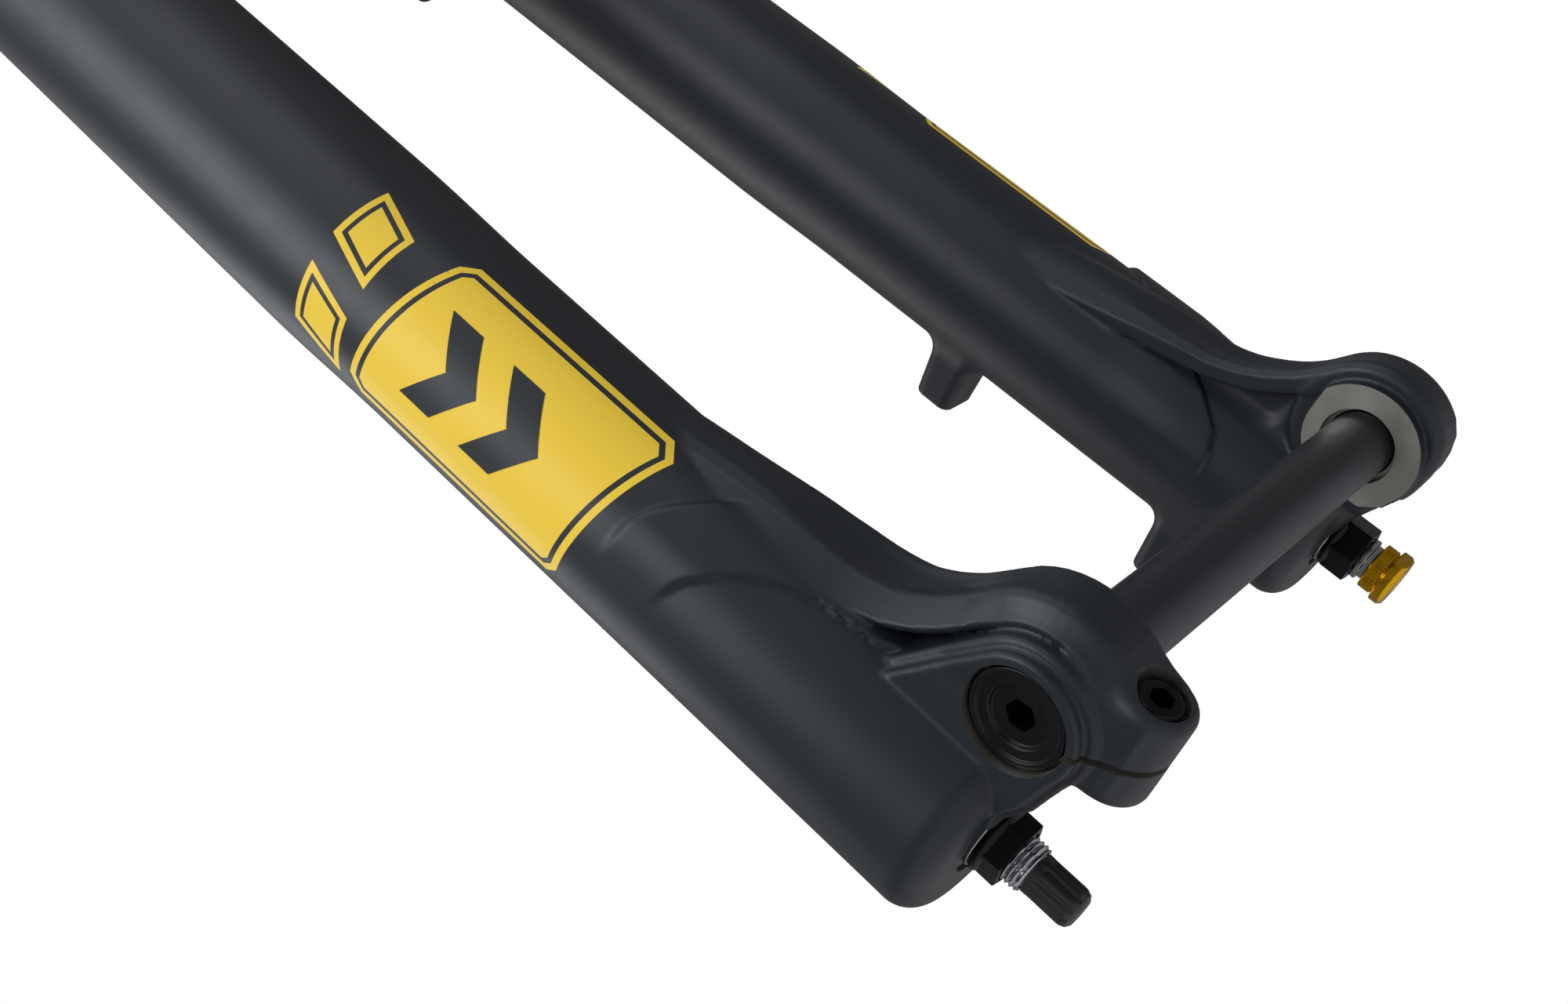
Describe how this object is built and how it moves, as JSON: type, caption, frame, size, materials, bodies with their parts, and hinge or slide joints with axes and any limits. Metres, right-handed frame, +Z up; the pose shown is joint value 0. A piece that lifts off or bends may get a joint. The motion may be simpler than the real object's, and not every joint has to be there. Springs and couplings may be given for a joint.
{
  "type": "suspension fork",
  "caption": "Air-sprung mountain-bike suspension fork: tapered steerer and forged crown over two stanchions that slide in a cast lower with arch, thru-axle and brake posts.",
  "frame": {"origin": "on the steerer's axis at the seat of the lower headset race", "axes": "+Z up along the steerer, +X to the rider's left, -Y forwards"},
  "size_m": [0.191, 0.0899, 0.8415],
  "materials": {
    "painted_casting": "satin charcoal paint over a cast magnesium skin",
    "black_anodised": "satin black anodised aluminium",
    "stanchion_coat": "smooth dark hard coat, glossy",
    "gold_anodised": "bright gold anodised aluminium",
    "bare_aluminium": "turned bare aluminium",
    "black_steel": "black oxide steel",
    "bright_steel": "zinc plated steel",
    "axle_anodised": "satin dark grey anodised aluminium",
    "rubber": "matt black nitrile rubber",
    "foam": "open-cell oil foam",
    "plastic": "moulded black nylon",
    "bushing_liner": "coated slide bushing",
    "decal_vinyl": "printed vinyl decal under clear film"
  },
  "bodies": {
    "upper": {"steerer_tube": "black_anodised", "crown": "black_anodised", "stanchion_left": "stanchion_coat", "stanchion_right": "stanchion_coat", "damper_top_cap": "black_anodised", "damper_cap_seal": "rubber", "air_top_cap": "black_anodised", "air_cap_seal": "rubber", "main_valve_core": "bright_steel", "cartridge_tube": "bare_aluminium", "compression_valve": "gold_anodised", "damper_inner_tube": "bare_aluminium", "damper_seal_head": "black_anodised", "top_out_bumper": "rubber", "air_seal_head": "black_anodised", "air_seal_clip": "bright_steel", "top_out_spring": "bright_steel"},
    "lowers": {"lower_casting": "painted_casting", "bushing_upper_left": "bushing_liner", "bushing_lower_left": "bushing_liner", "bushing_upper_right": "bushing_liner", "bushing_lower_right": "bushing_liner", "foam_ring_left": "foam", "foam_ring_right": "foam", "dust_wiper_left": "rubber", "dust_wiper_right": "rubber", "wiper_spring_left": "bright_steel", "wiper_spring_right": "bright_steel", "damper_shaft": "bright_steel", "rebound_piston": "gold_anodised", "piston_glide_ring": "plastic", "damper_foot_nut": "black_steel", "damper_foot_nut_washer": "bare_aluminium", "air_shaft": "bare_aluminium", "air_piston": "bare_aluminium", "air_piston_seal": "rubber", "ramp_valve_core": "bright_steel", "air_foot_nut": "black_steel", "air_foot_nut_washer": "bare_aluminium", "hose_guide": "plastic", "hose_guide_screw": "black_steel"},
    "high_speed_adjuster": {"high_speed_lever": "black_anodised"},
    "low_speed_adjuster": {"low_speed_knob": "gold_anodised"},
    "main_valve_lid": {"main_valve_cover": "black_anodised"},
    "rebound_adjuster": {"rebound_knob": "gold_anodised"},
    "ramp_piston_body": {"ramp_up_piston": "plastic", "ramp_up_seal": "rubber"},
    "ramp_valve_lid": {"ramp_valve_cap": "plastic"},
    "axle_body": {"axle": "axle_anodised"},
    "pinch_bolt_body": {"pinch_bolt": "black_steel"},
    "sag_marker": {"sag_ring": "rubber"}
  },
  "joints": [
    {"name": "fork_travel", "type": "slide", "parent": "upper", "child": "lowers", "axis": [0, 0, 1], "range_m": [0, 0.15], "stiffness_N_per_m": 2200, "springref_m": -0.06},
    {"name": "sag_ring_slide", "type": "slide", "parent": "upper", "child": "sag_marker", "axis": [0, 0, 1], "range_m": [0, 0.15]},
    {"name": "high_speed_lever_turn", "type": "hinge", "parent": "upper", "child": "high_speed_adjuster", "pos_m": [0.07, -0.0126, -0.001], "axis": [0, 0, 1], "range_deg": [0, 90]},
    {"name": "low_speed_knob_turn", "type": "hinge", "parent": "upper", "child": "low_speed_adjuster", "pos_m": [0.07, -0.0126, 0.004], "axis": [0, 0, 1], "range_deg": [0, 330]},
    {"name": "main_valve_lid_lift", "type": "slide", "parent": "upper", "child": "main_valve_lid", "axis": [0, 0, 1], "range_m": [0, 0.03]},
    {"name": "rebound_knob_turn", "type": "hinge", "parent": "lowers", "child": "rebound_adjuster", "pos_m": [0.07, -0.0126, -0.571], "axis": [0, 0, 1], "range_deg": [0, 330]},
    {"name": "ramp_piston_slide", "type": "slide", "parent": "lowers", "child": "ramp_piston_body", "axis": [0, 0, 1], "range_m": [-0.13, 0], "stiffness_N_per_m": 60, "springref_m": 0.02},
    {"name": "ramp_valve_lid_pull", "type": "slide", "parent": "lowers", "child": "ramp_valve_lid", "axis": [0, 0, -1], "range_m": [0, 0.02]},
    {"name": "axle_withdraw", "type": "slide", "parent": "lowers", "child": "axle_body", "axis": [-1, 0, 0], "range_m": [0, 0.155]},
    {"name": "pinch_bolt_turn", "type": "hinge", "parent": "lowers", "child": "pinch_bolt_body", "pos_m": [-0.0655, -0.056, -0.5668], "axis": [0, -1, 0], "range_deg": [0, 720]}
  ],
  "couplings": [
    {"joint": "sag_ring_slide", "follows": "fork_travel", "ratio": 1}
  ]
}
